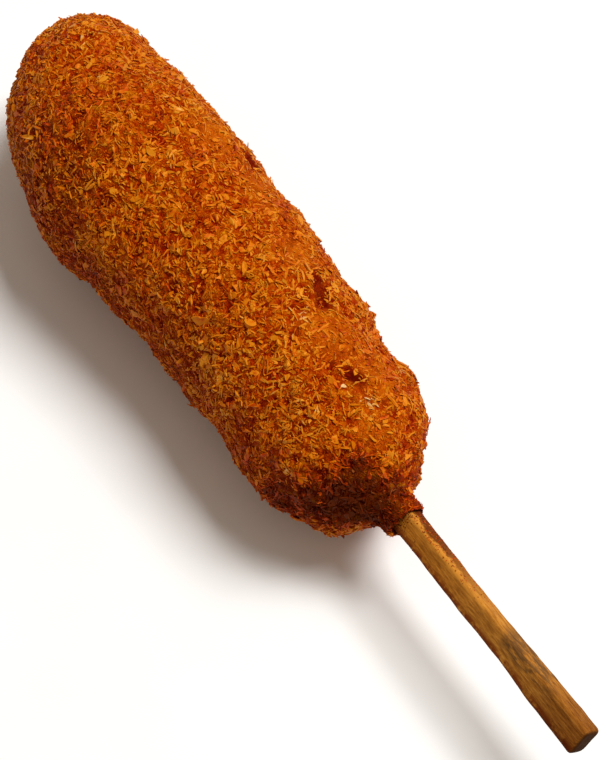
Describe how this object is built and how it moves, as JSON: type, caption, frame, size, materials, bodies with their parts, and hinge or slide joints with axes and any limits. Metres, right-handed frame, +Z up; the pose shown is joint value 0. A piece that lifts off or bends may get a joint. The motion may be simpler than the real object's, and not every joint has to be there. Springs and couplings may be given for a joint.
{
  "type": "corn dog",
  "caption": "Corn dog lying on its side: a crumb-breaded, deep-fried batter loaf on a four-sided wooden stick that sticks out of one end.",
  "frame": {"origin": "under the middle of the whole object, on the surface it rests on", "axes": "+X along the object towards the stick's free end, +Z up as it lies"},
  "size_m": [0.2056, 0.0484, 0.0477],
  "materials": {
    "fried_crust": null,
    "stick_wood": "bare light wood toasted brown by the fryer, with straight grain"
  },
  "bodies": {
    "root": {"breaded_loaf": "fried_crust", "stick": "stick_wood"}
  },
  "joints": []
}
